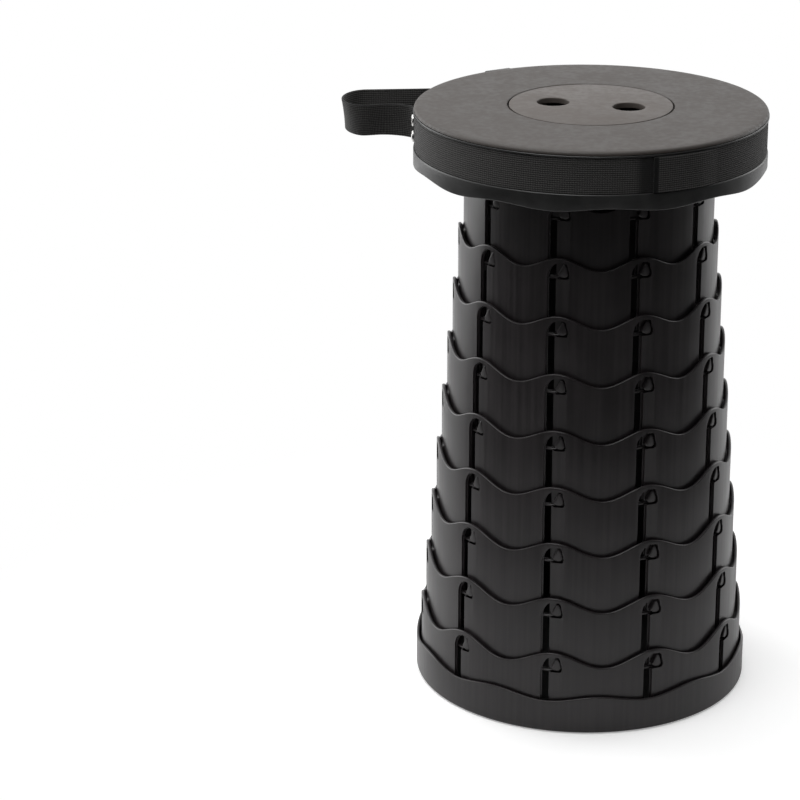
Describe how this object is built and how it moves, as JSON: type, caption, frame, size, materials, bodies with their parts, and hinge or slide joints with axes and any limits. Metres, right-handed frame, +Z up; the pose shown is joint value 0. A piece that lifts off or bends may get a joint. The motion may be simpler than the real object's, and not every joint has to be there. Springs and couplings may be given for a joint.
{
  "type": "collapsible telescopic stool",
  "caption": "Round stool on a column of nested plastic tubes that slide into each other, with lugs that hang in pockets, a wide seat and a webbing handle loop.",
  "frame": {"origin": "on the floor, at the centre of the box round the seat, the foot ring and the handle loop; the column's axis stands 27.5 mm from it towards +X", "axes": "+Z up along the column, -X towards the handle loop, -Y towards the side that the picture is taken from"},
  "size_m": [0.31, 0.2548, 0.44],
  "materials": {
    "tube_plastic": "fine satin moulding texture",
    "pad_rubber": "matt",
    "seat_plastic": "fine leathery moulding texture",
    "rim_plastic": "satin",
    "cap_plastic": "fine leathery moulding texture",
    "screw_steel": "zinc plated",
    "webbing": "ribbed woven webbing",
    "slider_plastic": "smooth",
    "rivet_nickel": "polished nickel"
  },
  "bodies": {
    "base": {"foot_ring": "tube_plastic", "grip_pad_1": "pad_rubber", "grip_pad_2": "pad_rubber", "grip_pad_3": "pad_rubber", "grip_pad_4": "pad_rubber", "grip_pad_5": "pad_rubber", "tube_1": "tube_plastic"},
    "stage_2": {"tube_2": "tube_plastic"},
    "stage_3": {"tube_3": "tube_plastic"},
    "stage_4": {"tube_4": "tube_plastic"},
    "stage_5": {"tube_5": "tube_plastic"},
    "stage_6": {"tube_6": "tube_plastic"},
    "stage_7": {"tube_7": "tube_plastic"},
    "stage_8": {"tube_8": "tube_plastic"},
    "stage_9": {"tube_9": "tube_plastic"},
    "seat": {"seat_tube": "tube_plastic", "seat_top": "seat_plastic", "seat_rim": "rim_plastic", "centre_cap": "cap_plastic", "seat_screw_1": "screw_steel", "seat_screw_2": "screw_steel", "seat_screw_3": "screw_steel", "seat_screw_4": "screw_steel", "seat_screw_5": "screw_steel", "strap_band": "webbing", "strap_overlap": "webbing", "strap_handle": "webbing", "strap_slider": "slider_plastic", "rivet_front_upper": "rivet_nickel", "rivet_front_lower": "rivet_nickel", "rivet_back_upper": "rivet_nickel", "rivet_back_lower": "rivet_nickel"}
  },
  "joints": [
    {"name": "slide_2", "type": "slide", "parent": "base", "child": "stage_2", "axis": [0, 0, 1], "range_m": [-0.0415, 0]},
    {"name": "slide_3", "type": "slide", "parent": "stage_2", "child": "stage_3", "axis": [0, 0, 1], "range_m": [-0.0415, 0]},
    {"name": "slide_4", "type": "slide", "parent": "stage_3", "child": "stage_4", "axis": [0, 0, 1], "range_m": [-0.0415, 0]},
    {"name": "slide_5", "type": "slide", "parent": "stage_4", "child": "stage_5", "axis": [0, 0, 1], "range_m": [-0.0415, 0]},
    {"name": "slide_6", "type": "slide", "parent": "stage_5", "child": "stage_6", "axis": [0, 0, 1], "range_m": [-0.0415, 0]},
    {"name": "slide_7", "type": "slide", "parent": "stage_6", "child": "stage_7", "axis": [0, 0, 1], "range_m": [-0.0415, 0]},
    {"name": "slide_8", "type": "slide", "parent": "stage_7", "child": "stage_8", "axis": [0, 0, 1], "range_m": [-0.0415, 0]},
    {"name": "slide_9", "type": "slide", "parent": "stage_8", "child": "stage_9", "axis": [0, 0, 1], "range_m": [-0.0415, 0]},
    {"name": "slide_seat", "type": "slide", "parent": "stage_9", "child": "seat", "axis": [0, 0, 1], "range_m": [-0.0415, 0]}
  ]
}
